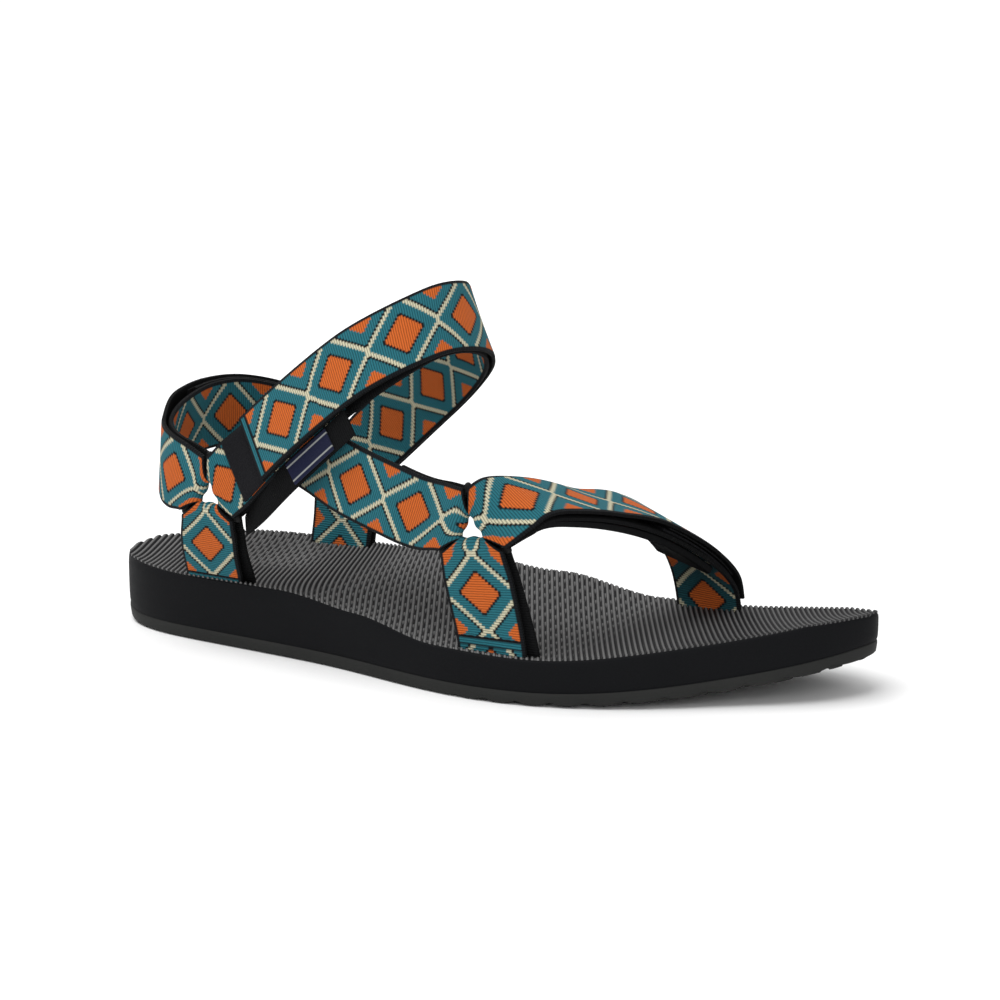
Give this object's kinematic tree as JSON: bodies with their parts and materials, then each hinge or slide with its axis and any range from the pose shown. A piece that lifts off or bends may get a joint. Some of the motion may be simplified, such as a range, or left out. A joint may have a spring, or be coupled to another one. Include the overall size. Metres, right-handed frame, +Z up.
{
  "type": "sport sandal",
  "caption": "Right-foot sport sandal with a foam sole and patterned webbing straps at the toes, side, heel and ankle, joined by ring links and closed with hook-and-loop tabs.",
  "frame": {"origin": "on the ground, at the centre of the sole's bounding rectangle", "axes": "+X from heel to toe, +Y towards the medial (big-toe) side, +Z up"},
  "size_m": [0.268, 0.092, 0.1244],
  "materials": {
    "outsole_rubber": "matt moulded rubber",
    "midsole_foam": "fine-grained moulded foam",
    "footbed_foam": "matt ribbed foam",
    "ring_coating": "smooth coating",
    "patterned_webbing": "ribbed woven webbing with a jacquard pattern",
    "loop_tape": "fuzzy loop pile",
    "hook_tape": "stiff hook tape",
    "lining": "smooth brushed lining",
    "woven_label": "damask woven label"
  },
  "bodies": {
    "sandal": {"outsole": "outsole_rubber", "midsole": "midsole_foam", "footbed": "footbed_foam", "ring_rear_lateral": "ring_coating", "ring_rear_medial": "ring_coating", "ring_front_lateral": "ring_coating", "anchor_rear_lateral": "patterned_webbing", "anchor_rear_medial": "patterned_webbing", "anchor_front_lateral": "patterned_webbing", "ankle_base": "patterned_webbing", "ankle_flap": "patterned_webbing", "heel_base": "patterned_webbing", "heel_flap": "patterned_webbing", "toe_base": "patterned_webbing", "toe_flap": "patterned_webbing", "side_strap": "patterned_webbing", "ankle_loop_tape": "loop_tape", "heel_loop_tape": "loop_tape", "toe_loop_tape": "loop_tape", "toe_lining": "lining", "label_strip": "lining", "woven_label": "woven_label"},
    "ankle_tip": {"ankle_flap_end": "patterned_webbing", "ankle_hook_tape": "hook_tape"},
    "heel_tip": {"heel_flap_end": "patterned_webbing", "heel_hook_tape": "hook_tape"},
    "toe_tip": {"toe_flap_end": "patterned_webbing", "toe_hook_tape": "hook_tape"}
  },
  "joints": [
    {"name": "ankle_peel", "type": "hinge", "parent": "sandal", "child": "ankle_tip", "pos_m": [-0.02596, -0.03549, 0.09821], "axis": [-0.5209, 0.3779, 0.7654], "range_deg": [0, 110]},
    {"name": "heel_peel", "type": "hinge", "parent": "sandal", "child": "heel_tip", "pos_m": [-0.11736, 0.00044, 0.06869], "axis": [0.1703, 0.0024, 0.9854], "range_deg": [0, 110]},
    {"name": "toe_peel", "type": "hinge", "parent": "sandal", "child": "toe_tip", "pos_m": [0.05911, 0.00811, 0.05482], "axis": [0.9285, -0.2484, -0.276], "range_deg": [0, 110]}
  ]
}
